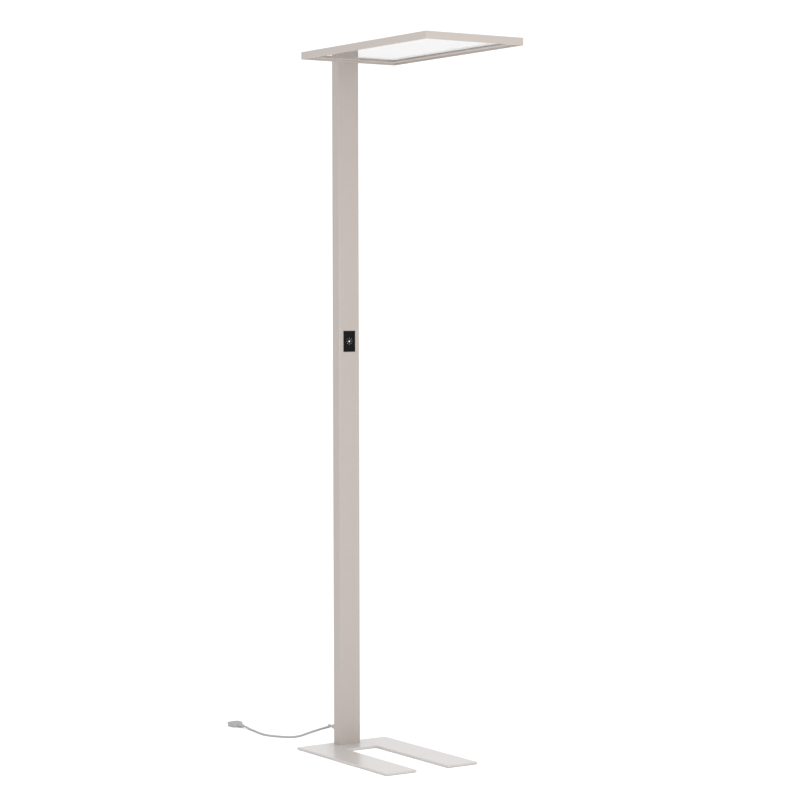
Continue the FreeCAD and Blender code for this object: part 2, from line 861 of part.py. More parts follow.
def coil_knot(turn):
    """The centreline's place and direction after so many turns. The spiral goes in and out again
    at a steady rate, and each climb takes the half turn where the spiral reverses."""
    layer_turns = coil_turns / coil_layers
    layer = min(int(turn / layer_turns), coil_layers - 1)
    within = turn - layer * layer_turns
    if layer % 2 == 0:
        radius = coil_outer_radius - coil_pitch * within
        growth = -coil_pitch
    else:
        radius = coil_outer_radius - coil_pitch * (layer_turns - within)
        growth = coil_pitch
    height = coil_height(coil_layers - 1)
    for step in range(1, coil_layers):
        share = min(max((turn - step * layer_turns) / 0.5 + 0.5, 0.0), 1.0)
        height -= coil_pitch * share * share * (3 - 2 * share)
    nearest = round(turn / layer_turns)
    if 0 < nearest < coil_layers and abs(turn - nearest * layer_turns) < 1e-6:
        growth = 0.0
    angle = math.radians(coil_entry_degrees) + 2 * math.pi * turn
    outward = point(math.cos(angle), math.sin(angle), 0)
    forward = point(-math.sin(angle), math.cos(angle), 0)
    slope = 0.0
    for step in range(1, coil_layers):
        share = (turn - step * layer_turns) / 0.5 + 0.5
        if 0 < share < 1:
            slope -= coil_pitch * 6 * share * (1 - share) / 0.5
    if turn < 1e-6 or turn > coil_turns - 1e-6:
        growth = 0.0
    direction = forward * (2 * math.pi * radius) + outward * growth + point(0, 0, slope)
    centre = point(coil_centre_x, coil_centre_y, height)
    return centre + outward * radius, direction.normalize()


def arc_from_tangent(start, direction, end):
    """The circular arc from a point, along a direction, to another point."""
    chord = end - start
    along = chord.dot(direction)
    across = chord - direction * along
    if across.Length < 1e-7:
        return Part.LineSegment(start, end).toShape()
    normal = across.normalize()
    rise = chord.dot(normal)
    radius = chord.dot(chord) / (2 * rise)
    half_angle = math.atan2(rise, along)
    forward = direction * (radius * math.sin(half_angle))
    middle = start + forward + normal * (radius * (1 - math.cos(half_angle)))
    return Part.Arc(start, middle, end).toShape()


def biarc(start, start_direction, end, end_direction):
    """Two tangent arcs between two places with given directions."""
    gap = end - start
    both = start_direction + end_direction
    spread = 2 * (1 - start_direction.dot(end_direction))
    reach = gap.dot(both)
    handle = (math.sqrt(reach * reach + spread * gap.dot(gap)) - reach) / spread
    middle = (start + start_direction * handle + end - end_direction * handle) * 0.5
    second = arc_from_tangent(end, end_direction * -1, middle)
    return [arc_from_tangent(start, start_direction, middle), second]


def coil_ends():
    """The coil's two cord ends, each with its direction: one tube diameter out, straight."""
    first, first_direction = coil_knot(0.0)
    last, last_direction = coil_knot(coil_turns)
    straight = 2 * cord_radius
    start = first - first_direction * straight
    end = last + last_direction * straight
    return start, first_direction, end, last_direction


def cord_coil():
    start, start_direction, end, end_direction = coil_ends()
    knots = [coil_knot(quarter / 4.0) for quarter in range(int(round(coil_turns * 4)) + 1)]
    edges = [Part.LineSegment(start, knots[0][0]).toShape()]
    for (place, direction), (next_place, next_direction) in zip(knots, knots[1:]):
        edges += biarc(place, direction, next_place, next_direction)
    edges.append(Part.LineSegment(knots[-1][0], end).toShape())
    wire = Part.Wire(Part.sortEdges(edges)[0])
    report_coil(edges)
    return tube_along(wire, start, start_direction, cord_radius)


def report_coil(edges):
    """Print the coil's length and the least gap between turns that aren't neighbours along the cord."""
    samples = []
    travelled = 0.0
    for edge in edges:
        places = edge.discretize(Number=9)
        if samples and (places[0] - samples[-1][0]).Length > (places[-1] - samples[-1][0]).Length:
            places.reverse()
        for place in places[1:] if samples else places:
            if samples:
                travelled += (place - samples[-1][0]).Length
            samples.append((place, travelled))
    least = min((one[0] - other[0]).Length for index, one in enumerate(samples)
                for other in samples[index + 1:] if other[1] - one[1] > 8 * cord_radius)
    print("coil length", round(travelled, 1), "least gap between turns", round(least - 2 * cord_radius, 2))


def lead_points():
    """The cord's free route from the strain relief to the coil's top layer."""
    start, direction = coil_ends()[:2]
    floor = cord_radius
    return [on_gland_axis(relief_end), on_gland_axis(98.5), point(11.5, 117.5, 41), point(34, 138, 32),
            point(62, 160, 17), point(94, 181, floor), point(122, 201, floor),
            start - direction * 30, start]


def run_points():
    """The cord's free route on the floor, from the coil's bottom layer to the plug."""
    end, direction = coil_ends()[2:]
    floor = cord_radius
    plug_axis = plug_thickness / 2
    return [end, end + direction * 20, point(82, 262, floor), point(36, 237.5, floor),
            point(-3, 214.5, floor), point(-40, 190, floor), point(-72.5, 189.5, floor),
            point(-92.5, 216.5, floor), point(-108, 242, floor), point(-114.5, 273, floor),
            point(-110, 314, floor), point(-104.3, 350, floor), point(-103.2, 372, floor),
            point(-104, 390, plug_axis), point(-104.8, 404, plug_axis)]


def free_cord(name, points):
    """A free stretch of cord, with every bend as wide as its runs allow."""
    radii = []
    for index in range(1, len(points) - 1):
        incoming = points[index] - points[index - 1]
        outgoing = points[index + 1] - points[index]
        turn = incoming.getAngle(outgoing)
        radii.append(run_share_of_bend * min(incoming.Length, outgoing.Length) / math.tan(turn / 2))
    wire = bent_route(points, radii)
    solid = tube_along(wire, points[0], points[1] - points[0], cord_radius)
    expected = math.pi * cord_radius ** 2 * wire.Length
    print(name, "length", round(wire.Length, 1), "radii", [round(radius) for radius in radii],
          "volume share", round(solid.Volume / expected, 4))
    return solid


def plug_frame():
    """The plug's rear centre, its forward direction and its sideways direction."""
    points = run_points()
    forward = (points[-1] - points[-2]).normalize()
    return points[-1], forward, point(forward.y, -forward.x, 0)


def plug_body():
    rear, forward, side = plug_frame()
    boot_end = rear + forward * plug_boot_length
    boot = taper(plug_boot_start_radius, plug_boot_end_radius, rear, boot_end)
    low = point(0, 0, -plug_thickness / 2)
    neck = boot_end + forward * plug_neck_length
    front = boot_end + forward * plug_length
    outline = [boot_end + side * (plug_neck_width / 2), neck + side * (plug_width / 2),
               front + side * (plug_width / 2), front - side * (plug_width / 2),
               neck - side * (plug_width / 2), boot_end - side * (plug_neck_width / 2)]
    body = outline_solid([corner + low for corner in outline], plug_thickness)
    body = body.makeFillet(plug_edge_radius, upright_edges(body, [(c.x, c.y) for c in outline]))
    body = body.fuse(boot).removeSplitter()
    for sign in (-1, 1):
        axis = front + side * (sign * pin_spacing / 2)
        body = body.cut(rod(pin_radius, axis - forward * pin_length / 2, axis))
    return body


def plug_pins():
    rear, forward, side = plug_frame()
    front = rear + forward * (plug_boot_length + plug_length)
    pins = []
    for sign in (-1, 1):
        axis = front + side * (sign * pin_spacing / 2)
        pins.append(rod(pin_radius, axis - forward * pin_length / 2, axis + forward * pin_length))
    return Part.makeCompound(pins)


os.makedirs("parts", exist_ok=True)

save("base_plate", base_plate())
save("floor_pad", floor_pad())
save("base_screws", base_screws())
save("tray_screw", tray_screw())
save("tray_nut", tray_nut())
save("column_tube", column_tube())
save("column_top_cap", column_top_cap())
save("left_rail", left_rail())
save("right_rail", right_rail())
save("front_rail", front_rail())
save("rear_rail", rear_rail())
save("corner_cleats", corner_cleats())
save("light_guide", light_guide())
save("led_strip_left", led_strip(-1))
save("led_strip_right", led_strip(1))
save("strip_leads", strip_leads())
save("head_bracket", head_bracket())
save("head_nut_plate", head_nut_plate())
save("head_screws", head_screws())
save("head_grommet", head_grommet())
save("control_bezel", control_bezel())
save("control_key", control_key())
save("sun_symbol", sun_symbol())
save("switch_plunger", switch_plunger())
save("key_switch", key_switch())
save("control_board", control_board())
save("board_screws", board_screws())
save("board_connectors", board_connectors())
save("driver_tray", driver_tray())
save("led_driver", led_driver())
save("driver_screws", driver_screws())
save("terminal_block", terminal_block())
save("mains_tail", mains_tail())
save("driver_lead", driver_lead())
save("column_lead", column_lead())
save("head_lead", head_lead())
save("gland_body", gland_body())
save("gland_lock_nut", gland_lock_nut())
save("gland_dome_nut", gland_dome_nut())
save("gland_seal", gland_seal())
save("strain_relief", strain_relief())
save("cord_lead", free_cord("cord_lead", lead_points()))
save("cord_coil", cord_coil())
save("cord_run", free_cord("cord_run", run_points()))
save("plug_body", plug_body())
save("plug_pins", plug_pins())
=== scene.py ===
import math

import bmesh
import bpy
from mathutils import Matrix, Vector


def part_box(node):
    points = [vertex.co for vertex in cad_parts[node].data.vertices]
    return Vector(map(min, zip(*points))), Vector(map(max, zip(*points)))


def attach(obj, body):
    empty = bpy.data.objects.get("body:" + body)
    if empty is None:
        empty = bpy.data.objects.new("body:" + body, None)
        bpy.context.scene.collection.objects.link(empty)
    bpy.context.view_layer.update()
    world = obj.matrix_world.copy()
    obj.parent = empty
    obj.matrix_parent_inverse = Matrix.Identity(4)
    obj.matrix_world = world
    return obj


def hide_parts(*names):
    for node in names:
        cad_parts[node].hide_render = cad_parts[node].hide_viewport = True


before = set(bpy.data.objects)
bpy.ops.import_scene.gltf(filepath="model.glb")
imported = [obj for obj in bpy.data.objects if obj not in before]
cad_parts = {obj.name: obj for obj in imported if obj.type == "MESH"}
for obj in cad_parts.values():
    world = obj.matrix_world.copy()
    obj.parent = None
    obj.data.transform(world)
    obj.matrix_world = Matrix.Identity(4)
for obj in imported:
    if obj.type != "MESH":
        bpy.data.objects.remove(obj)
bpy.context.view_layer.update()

LAMP = "lamp"
MM = 0.001
BACKWARD = Vector((0.0, 1.0, 0.0))
UPWARD = Vector((0.0, 0.0, 1.0))

# Camera: from the front left, a little over a metre up, looking slightly down. Distances in metres
CAMERA_AZIMUTH = math.radians(-33.4007)
CAMERA_PITCH = math.radians(-2.2704)
CAMERA_ROLL = math.radians(-0.1192)
CAMERA_DISTANCE = 6.6440
CAMERA_SIDEWAYS = 0.1508
CAMERA_HEIGHT = 1.2359
CAMERA_REACH = 100.0
FOCAL_PIXELS = 2378.5
IMAGE_PIXELS = 800.0
SENSOR_WIDTH = 36.0

# Studio
STUDIO_BRIGHTNESS = 1.12
FLOOR_HALF_WIDTH = 40.0

# Colours of paint, plastic, rubber, boards and metal, as linear light
COLUMN_GREY = (0.350, 0.312, 0.288)
# The head's copy of the column's paint, made lighter: painted light for the stronger light the head catches
HEAD_GREY_PAINTED_LIGHT = (0.382, 0.341, 0.316)
# The base's copy of the column's paint, made lighter and more neutral: painted light for the brightness its
# top shows
BASE_GREY_PAINTED_LIGHT = (0.434, 0.410, 0.398)
GLAND_GREY = (0.380, 0.355, 0.335)
CORD_GREY = (0.300, 0.303, 0.307)
PANEL_BLACK = (0.0035, 0.0035, 0.0038)
SYMBOL_WHITE = (0.82, 0.82, 0.80)
RUBBER_BLACK = (0.018, 0.018, 0.019)
ZINC = (0.55, 0.56, 0.58)
PLAIN_ALUMINIUM = (0.66, 0.66, 0.67)
WHITE_PLASTIC = (0.72, 0.72, 0.70)
CLEAR_SHADE = (0.755, 0.757, 0.755)
CLEAR_TINT = (0.775, 0.777, 0.775)
BOARD_GREEN = (0.020, 0.110, 0.045)
COPPER_GREEN = (0.045, 0.190, 0.080)
STRIP_WHITE = (0.80, 0.80, 0.78)
LED_YELLOW = (0.80, 0.62, 0.12)
SWITCH_BLACK = (0.020, 0.020, 0.022)
NICKEL = (0.72, 0.71, 0.69)
STUDIO_WHITE = (0.93, 0.93, 0.93)

# Patterns in the finishes: lengths in millimetres, edges as shares of the pitch, stretches in X, Y and Z
DOT_PITCH = 2.4
DOT_EDGE = (0.16, 0.22)
DOT_CLEARNESS = 0.90
TRACK_PITCH = 4.5
TRACK_EDGE = (0.05, 0.09)
STRIP_BOARD_THICKNESS = 0.8
STRIP_FACE_MARGIN = 0.02
WIPED_UPRIGHT = (1.0, 1.0, 0.45)
ROLLED_UPRIGHT = (1.0, 1.0, 0.06)

# Noise lies mostly between these values
NOISE_LOW = 0.3
NOISE_HIGH = 0.7

# The mix node's sockets for colours
MIX_FIRST = 6
MIX_SECOND = 7
MIX_RESULT = 2

# The mains cord's route, in metres, and its coil behind the column
CORD_DIAMETER = 0.0056
GLAND_HEIGHT = 0.044
RELIEF_START = Vector((0.0, 0.0375, GLAND_HEIGHT))
RELIEF_END = Vector((0.0, 0.080, GLAND_HEIGHT))
COIL_CENTRE = Vector((0.1674, 0.2656, 0.0))
COIL_OUTER_RADIUS = 0.0342
COIL_LAYERS = 4
COIL_TURNS = 7.5
COIL_PITCH = 0.0061
COIL_ENTRY = math.radians(-62.0)
COIL_POINTS_PER_TURN = 16
COIL_STRAIGHT = CORD_DIAMETER
COIL_RUN_IN = 0.030
COIL_RUN_OUT = 0.020
LAYER_CHANGE_TURNS = 0.5
FLOOR_REST = CORD_DIAMETER / 2
COIL_TOP = FLOOR_REST + COIL_PITCH * (COIL_LAYERS - 1)
PLUG_AXIS = 0.00685
PLUG_START = Vector((-0.104, 0.390, PLUG_AXIS))
PLUG_REAR = Vector((-0.1048, 0.404, PLUG_AXIS))

# Plug, in millimetres. A pin tip's points give the distance back from its end and the share of its radius
PLUG_WIDTH = 35.0
PLUG_THICKNESS = 13.7
PLUG_LENGTH = 36.0
PLUG_NECK_WIDTH = 17.0
PLUG_NECK_LENGTH = 9.0
PLUG_EDGE = 2.3
GRIP_PANEL_LEAST_AREA = 200.0
GRIP_PANEL_MARGIN = 1.6
GRIP_PANEL_SLOPE = 0.5
GRIP_PANEL_DEPTH = 0.6
GRIP_BARS = 5
GRIP_BAR_SIZE = (20.0, 1.5, 0.9)
GRIP_BAR_EDGE = 0.25
GRIP_BAR_PITCH = 3.6
GRIP_BAR_FROM_NECK = 4.0
GRIP_BAR_UNDER_FACE = 0.55
BOOT_LENGTH = 22.0
BOOT_START_RADIUS = 4.2
BOOT_END_RADIUS = 6.4
BOOT_RIBS = 6
BOOT_FIRST_RIB = 2.4
BOOT_RIB_DEPTH = 0.8
PIN_SPACING = 18.6
PIN_LENGTH = 19.0
PIN_RADIUS = 2.0
PIN_STEP = 0.1
PIN_TIP = ((1.4, 1.0), (0.7, 0.86), (0.2, 0.55))
PIN_SIDES = 32
SLEEVE_LENGTH = 10.0
SLEEVE_SEAT_RADIUS = 1.85
SLEEVE_IN_PLUG = 0.5
SLEEVE_CHAMFER_LENGTH = 0.15
SLEEVE_CHAMFER_DEPTH = 0.08

# A ribbed taper, in millimetres. A groove's points give the distance along and the share of its depth
TAPER_START_LENGTH = 0.3
TAPER_START_DEPTH = 0.4
TAPER_END_CHAMFER = 0.35
GROOVE = ((-0.25, 0.0), (0.0, 0.7), (0.25, 1.0), (0.65, 1.0), (0.9, 0.6))
GROOVE_LENGTH = 1.2
GROOVE_LIP = 0.05

# Strain relief and dome nut, in millimetres. The nose's points give the share of its length and the radius
RELIEF_START_RADIUS = 6.4
RELIEF_END_RADIUS = 5.8
RELIEF_TIP_RADIUS = 3.7
RELIEF_RIBS = 9
RELIEF_FIRST_RIB = 4.0
RELIEF_RIB_DEPTH = 1.0
RELIEF_NOSE_LENGTH = 9.0
RELIEF_NOSE = ((0.3, RELIEF_END_RADIUS - 1.0), (0.7, RELIEF_TIP_RADIUS + 0.5))
RELIEF_TIP_LENGTH = 0.3
RELIEF_TIP_CHAMFER = 0.2
CORD_BORE = 2.9
DOME_NUT_LENGTH = 16.0
DOME_NUT_RADIUS = 8.0
DOME_NUT_START_RADIUS = 7.4
DOME_NUT_CHAMFER_LENGTH = 0.5
DOME_NUT_TIP_RADIUS = 6.6
DOME_START = 9.6
DOME_STEPS = 8
FLUTE_COUNT = 18
FLUTE_DEPTH = 0.5
FLUTE_FROM = 1.6
FLUTE_MIDDLE = 4.5
FLUTE_TO = 8.0
FLUTE_RUNOUT = 0.6
FLUTE_SIDES = 6

# Base screws, in millimetres
BASE_SCREW_HEAD_RADIUS = 5.0
HEAD_EDGE = 0.2
SOCKET_CHAMFER = 0.15
SCREW_TIP_LENGTH = 0.8
SCREW_TIP_DEPTH = 0.6
SOCKET_TOLERANCE = 0.05
SIXTH_TURN = math.radians(60)

# Mesh making
TURNED_SIDES = 48
LEVEL_NORMAL = 0.999
MERGE_DISTANCE = 0.001 * MM
SHARP_ANGLE = math.radians(38)


def place_camera():
    """The camera, set back from the column, then turned, pitched and rolled."""
    level_back = Vector((math.sin(CAMERA_AZIMUTH), -math.cos(CAMERA_AZIMUTH), 0))
    right = Vector((math.cos(CAMERA_AZIMUTH), math.sin(CAMERA_AZIMUTH), 0))
    back = level_back * math.cos(CAMERA_PITCH) - UPWARD * math.sin(CAMERA_PITCH)
    up = UPWARD * math.cos(CAMERA_PITCH) + level_back * math.sin(CAMERA_PITCH)
    rolled_right = right * math.cos(CAMERA_ROLL) + up * math.sin(CAMERA_ROLL)
    rolled_up = up * math.cos(CAMERA_ROLL) - right * math.sin(CAMERA_ROLL)
    spot = level_back * CAMERA_DISTANCE + right * CAMERA_SIDEWAYS + UPWARD * CAMERA_HEIGHT
    turn = Matrix((rolled_right, rolled_up, back)).transposed().to_4x4()
    data = bpy.data.cameras.new("studio_camera")
    data.sensor_width = SENSOR_WIDTH
    data.lens = FOCAL_PIXELS / IMAGE_PIXELS * SENSOR_WIDTH
    data.clip_end = CAMERA_REACH
    camera = bpy.data.objects.new("studio_camera", data)
    camera.matrix_world = Matrix.Translation(spot) @ turn
    bpy.context.collection.objects.link(camera)
    bpy.context.scene.camera = camera


def start_material(name):
    """A new material, with its node tree and its shader."""
    material = bpy.data.materials.new(name)
    material.use_nodes = True
    tree = material.node_tree
    return material, tree, tree.nodes["Principled BSDF"]


def object_coordinates(tree, stretch=(1, 1, 1)):
    """Object coordinates in metres, stretched where a finish has a direction."""
    source = tree.nodes.new("ShaderNodeTexCoord")
    mapping = tree.nodes.new("ShaderNodeMapping")
    mapping.inputs["Scale"].default_value = stretch
    tree.links.new(source.outputs["Object"], mapping.inputs["Vector"])
    return mapping.outputs["Vector"]


def noise(tree, place, grain, detail=4.0, roughness=0.6):
    """Noise whose grain, as everywhere below, is given in millimetres."""
    texture = tree.nodes.new("ShaderNodeTexNoise")
    texture.inputs["Scale"].default_value = 1.0 / (grain * MM)
    texture.inputs["Detail"].default_value = detail
    texture.inputs["Roughness"].default_value = roughness
    tree.links.new(place, texture.inputs["Vector"])
    return texture.outputs["Fac"]


def cells(tree, place, pitch):
    """A cell pattern whose pitch is given in millimetres."""
    texture = tree.nodes.new("ShaderNodeTexVoronoi")
    texture.inputs["Scale"].default_value = 1.0 / (pitch * MM)
    tree.links.new(place, texture.inputs["Vector"])
    return texture


def remap(tree, value, start, end, low, high):
    """Map a value's range from start to end onto the range from low to high."""
    node = tree.nodes.new("ShaderNodeMapRange")
    node.inputs["From Min"].default_value = start
    node.inputs["From Max"].default_value = end
    node.inputs["To Min"].default_value = low
    node.inputs["To Max"].default_value = high
    tree.links.new(value, node.inputs["Value"])
    return node.outputs["Result"]


def spread(tree, value, low=0.0, high=1.0):
    """Map a noise value onto the range from low to high."""
    return remap(tree, value, NOISE_LOW, NOISE_HIGH, low, high)


def shade_mix(tree, factor, first, second):
    """A colour between two colours, each of them plain or linked."""
    node = tree.nodes.new("ShaderNodeMix")
    node.data_type = "RGBA"
    tree.links.new(factor, node.inputs["Factor"])
    for socket, colour in ((node.inputs[MIX_FIRST], first), (node.inputs[MIX_SECOND], second)):
        if isinstance(colour, tuple):
            socket.default_value = (*colour, 1)
        else:
            tree.links.new(colour, socket)
    return node.outputs[MIX_RESULT]


def scaled(colour, share):
    """A colour made darker or lighter."""
    return tuple(min(channel * share, 1.0) for channel in colour)


def mottle(tree, shader, place, first, second, grain, detail=4.0):
    """Let the colour drift between two shades."""
    drift = spread(tree, noise(tree, place, grain, detail))
    tree.links.new(shade_mix(tree, drift, first, second), shader.inputs["Base Color"])


def vary_roughness(tree, shader, place, low, high, grain, detail=3.0):
    """Let the roughness drift between two values."""
    drift = spread(tree, noise(tree, place, grain, detail), low, high)
    tree.links.new(drift, shader.inputs["Roughness"])


def bump(tree, shader, height, depth, strength):
    """Surface grain of a depth in millimetres."""
    node = tree.nodes.new("ShaderNodeBump")
    node.inputs["Strength"].default_value = strength
    node.inputs["Distance"].default_value = depth * MM
    tree.links.new(height, node.inputs["Height"])
    tree.links.new(node.outputs["Normal"], shader.inputs["Normal"])


def powder_coat(name, colour, roughness=0.46, coat_roughness=0.22):
    """Fine-textured powder coat: a slight cloudiness, a speckle, and an orange-peel surface."""
    material, tree, shader = start_material(name)
    place = object_coordinates(tree)
    cloud = spread(tree, noise(tree, place, grain=160, detail=3))
    speckle = spread(tree, noise(tree, place, grain=0.9, detail=5, roughness=0.7))
    clouded = shade_mix(tree, cloud, scaled(colour, 0.975), scaled(colour, 1.02))
    speckled = shade_mix(tree, speckle, scaled(colour, 0.93), clouded)
    tree.links.new(speckled, shader.inputs["Base Color"])
    vary_roughness(tree, shader, place, roughness, roughness + 0.14, grain=1.6)
    bump(tree, shader, noise(tree, place, grain=1.1, roughness=0.55), depth=0.035, strength=0.6)
    shader.inputs["Specular IOR Level"].default_value = 0.08
    shader.inputs["Coat Weight"].default_value = 1.0
    shader.inputs["Coat Roughness"].default_value = coat_roughness
    shader.inputs["Coat IOR"].default_value = 1.5
    return material


def clear_acrylic(name):
    """Clear light-guide sheet with a fine grid of faint printed dots that draw the light out."""
    material, tree, shader = start_material(name)
    place = object_coordinates(tree)
    dots = cells(tree, place, DOT_PITCH)
    dots.inputs["Randomness"].default_value = 0.0
    clearness = remap(tree, dots.outputs["Distance"], *DOT_EDGE, DOT_CLEARNESS, 1.0)
    tree.links.new(clearness, shader.inputs["Transmission Weight"])
    mottle(tree, shader, place, CLEAR_SHADE, CLEAR_TINT, grain=240, detail=2)
    shader.inputs["IOR"].default_value = 1.49
    shader.inputs["Roughness"].default_value = 0.02
    return material


def satin_plastic(name, colour, roughness, grain=0.5, depth=0.02, gloss=0.5):
    """Moulded plastic with a fine spark-eroded grain."""
    material, tree, shader = start_material(name)
    place = object_coordinates(tree)
    mottle(tree, shader, place, scaled(colour, 0.93), scaled(colour, 1.05), grain=14)
    vary_roughness(tree, shader, place, roughness - 0.05, roughness + 0.07, grain=5, detail=4)
    bump(tree, shader, noise(tree, place, grain, detail=3), depth, strength=0.5)
    shader.inputs["Specular IOR Level"].default_value = gloss
    return material


def panel_gloss(name):
    """The control's dark panel: a smooth hard face with faint handling marks."""
    material, tree, shader = start_material(name)
    place = object_coordinates(tree)
    smear = noise(tree, object_coordinates(tree, WIPED_UPRIGHT), grain=11, detail=5, roughness=0.65)
    tree.links.new(spread(tree, smear, 0.16, 0.30), shader.inputs["Roughness"])
    mottle(tree, shader, place, PANEL_BLACK, scaled(PANEL_BLACK, 1.5), grain=9, detail=3)
    bump(tree, shader, noise(tree, place, grain=0.8, detail=2), depth=0.004, strength=0.4)
    shader.inputs["Specular IOR Level"].default_value = 0.08
    return material


def rubber(name, colour):
    """Matt moulded rubber with a dusty bloom."""
    material, tree, shader = start_material(name)
    place = object_coordinates(tree)
    mottle(tree, shader, place, colour, scaled(colour, 1.7), grain=6)
    vary_roughness(tree, shader, place, 0.72, 0.88, grain=2)
    bump(tree, shader, noise(tree, place, grain=0.7), depth=0.06, strength=0.8)
    return material


def cord_sheath(name, colour):
    """Extruded soft sheath: satin, with a fine grain and slightly dusty patches."""
    material, tree, shader = start_material(name)
    place = object_coordinates(tree)
    mottle(tree, shader, place, scaled(colour, 0.92), scaled(colour, 1.06), grain=22)
    vary_roughness(tree, shader, place, 0.42, 0.56, grain=3)
    bump(tree, shader, noise(tree, place, grain=0.9, detail=3), depth=0.03, strength=0.5)
    return material


def metal(name, colour, roughness, stretch=(1, 1, 1), grain=0.5):
    """Plated or plain metal with fine marks. A stretch draws the marks out along one direction."""
    material, tree, shader = start_material(name)
    marks = noise(tree, object_coordinates(tree, stretch), grain, detail=5, roughness=0.65)
    mottle(tree, shader, object_coordinates(tree), scaled(colour, 0.90), colour, grain=12, detail=3)
    tree.links.new(spread(tree, marks, roughness - 0.06, roughness + 0.10), shader.inputs["Roughness"])
    bump(tree, shader, marks, depth=0.012, strength=0.5)
    shader.inputs["Metallic"].default_value = 1.0
    return material


def circuit_board(name):
    """Green coated board with a lighter net of tracks under the coating."""
    material, tree, shader = start_material(name)
    place = object_coordinates(tree)
    tracks = cells(tree, place, TRACK_PITCH)
    tracks.feature = "DISTANCE_TO_EDGE"
    tracks.distance = "MANHATTAN"
    line = remap(tree, tracks.outputs["Distance"], *TRACK_EDGE, 1.0, 0.0)
    tree.links.new(shade_mix(tree, line, BOARD_GREEN, COPPER_GREEN), shader.inputs["Base Color"])
    vary_roughness(tree, shader, place, 0.28, 0.42, grain=3)
    bump(tree, shader, line, depth=0.03, strength=0.6)
    return material


def light_strip(name):
    """White board with yellow-coated light sources on its inner face."""
    material, tree, shader = start_material(name)
    place = object_coordinates(tree)
    low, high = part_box("led_strip_left")
    board_face = max(abs(low[0]), abs(high[0])) - STRIP_BOARD_THICKNESS * MM
    across = tree.nodes.new("ShaderNodeSeparateXYZ")
    tree.links.new(place, across.inputs["Vector"])
    from_middle = tree.nodes.new("ShaderNodeMath")
    from_middle.operation = "ABSOLUTE"
    tree.links.new(across.outputs["X"], from_middle.inputs[0])
    inside_board = tree.nodes.new("ShaderNodeMath")
    inside_board.operation = "LESS_THAN"
    inside_board.inputs[1].default_value = board_face - STRIP_FACE_MARGIN * MM
    tree.links.new(from_middle.outputs["Value"], inside_board.inputs[0])
    tree.links.new(shade_mix(tree, inside_board.outputs["Value"], STRIP_WHITE, LED_YELLOW),
                   shader.inputs["Base Color"])
    vary_roughness(tree, shader, place, 0.35, 0.5, grain=2)
    return material


def studio_floor_paint(name):
    """Matt white paint, a shade uneven."""
    material, tree, shader = start_material(name)
    place = object_coordinates(tree)
    mottle(tree, shader, place, scaled(STUDIO_WHITE, 0.995), STUDIO_WHITE, grain=900, detail=2)
    shader.inputs["Roughness"].default_value = 0.95
    shader.inputs["Specular IOR Level"].default_value = 0.1
    return material


def dress(material, *names):
    """Give CAD nodes a finish."""
    for name in names:
        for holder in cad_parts[name].material_slots:
            holder.material = material


def mesh_piece(name, shape, material, body=LAMP):
    """Turn a finished bmesh into a piece at the origin that rides on a body, if one is given."""
    mesh = bpy.data.meshes.new(name)
    bmesh.ops.recalc_face_normals(shape, faces=shape.faces)
    shape.to_mesh(mesh)
    shape.free()
    piece = bpy.data.objects.new(name, mesh)
    bpy.context.collection.objects.link(piece)
    mesh.materials.append(material)
    if body:
        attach(piece, body)
    return piece


def soften(piece):
    """Smooth shading that keeps the sharp edges."""
    piece.data.shade_smooth()
    piece.data.set_sharp_from_angle(angle=SHARP_ANGLE)
    return piece


def turned(shape, outline, start, along, sides=TURNED_SIDES, hollow=False):
    """Turn an outline of (distance along, radius) pairs in millimetres about an axis. A hollow piece's
    outline is a closed loop; a solid one's runs from the axis back to the axis."""
    out = along.orthogonal().normalized()
    places = [start + (along * distance + out * radius) * MM for distance, radius in outline]
    corners = [shape.verts.new(place) for place in places]
    pairs = list(zip(corners, corners[1:]))
    if hollow:
        pairs.append((corners[-1], corners[0]))
    edges = [shape.edges.new(pair) for pair in pairs]
    bmesh.ops.spin(shape, geom=corners + edges, cent=start, axis=along, dvec=(0, 0, 0),
                   angle=2 * math.pi, steps=sides, use_merge=True, use_duplicate=False)
    bmesh.ops.remove_doubles(shape, verts=shape.verts, dist=MERGE_DISTANCE)


def ribs(length, start_radius, end_radius, count, first, depth):
    """The outer line of a ribbed taper: ribs with rounded grooves between them."""
    line = [(0.0, start_radius - TAPER_START_DEPTH), (TAPER_START_LENGTH, start_radius)]
    pitch = (length - first) / count
    for index in range(count):
        begin = first + pitch * index
        crown = start_radius + (end_radius - start_radius) * begin / length
        line += [(begin + along, crown - depth * share) for along, share in GROOVE]
        line.append((begin + GROOVE_LENGTH, crown - GROOVE_LIP))
    line += [(length - TAPER_END_CHAMFER, end_radius), (length, end_radius - TAPER_END_CHAMFER)]
    return line


def ribbed_strain_relief(material):
    """The tapered boot that guards the cord where it leaves the gland."""
    shape = bmesh.new()
    length = (RELIEF_END - RELIEF_START).length / MM
    ribbed = length - RELIEF_NOSE_LENGTH
    outline = ribs(ribbed, RELIEF_START_RADIUS, RELIEF_END_RADIUS, RELIEF_RIBS, RELIEF_FIRST_RIB,
                   RELIEF_RIB_DEPTH)
    outline += [(ribbed + RELIEF_NOSE_LENGTH * share, radius) for share, radius in RELIEF_NOSE]
    outline += [(length - RELIEF_TIP_LENGTH, RELIEF_TIP_RADIUS),
                (length, RELIEF_TIP_RADIUS - RELIEF_TIP_CHAMFER), (length, CORD_BORE), (0.0, CORD_BORE)]
    turned(shape, outline, RELIEF_START, BACKWARD, hollow=True)
    piece = soften(mesh_piece("ribbed_strain_relief", shape, material))
    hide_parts("strain_relief")


